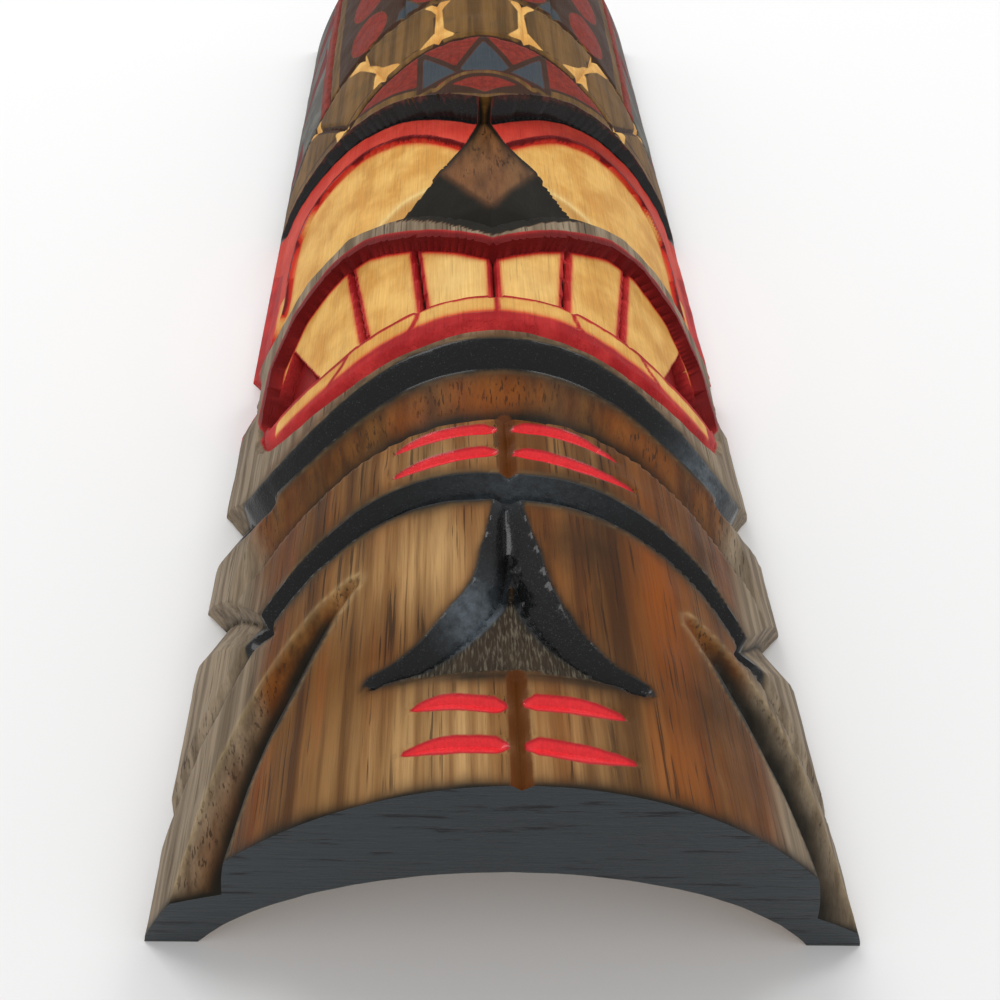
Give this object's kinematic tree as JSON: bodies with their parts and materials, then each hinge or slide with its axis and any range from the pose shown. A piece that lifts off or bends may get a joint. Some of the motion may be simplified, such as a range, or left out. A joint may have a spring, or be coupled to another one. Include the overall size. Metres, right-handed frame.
{
  "type": "tiki mask",
  "caption": "Carved wooden wall mask with a tiki face: tiered chin, toothed grin, wide eyes, wedge nose and tall headdress, hollow behind.",
  "frame": {"origin": "on the ground under the middle of the mask, which lies on its back", "axes": "+Z out of the face, +Y from the chin to the top of the headdress, +X to the right as one looks at the face"},
  "size_m": [0.178, 0.508, 0.0815],
  "materials": {
    "carved_wood": "scorched, painted and lacquered light wood"
  },
  "bodies": {
    "root": {"mask": "carved_wood"}
  },
  "joints": []
}
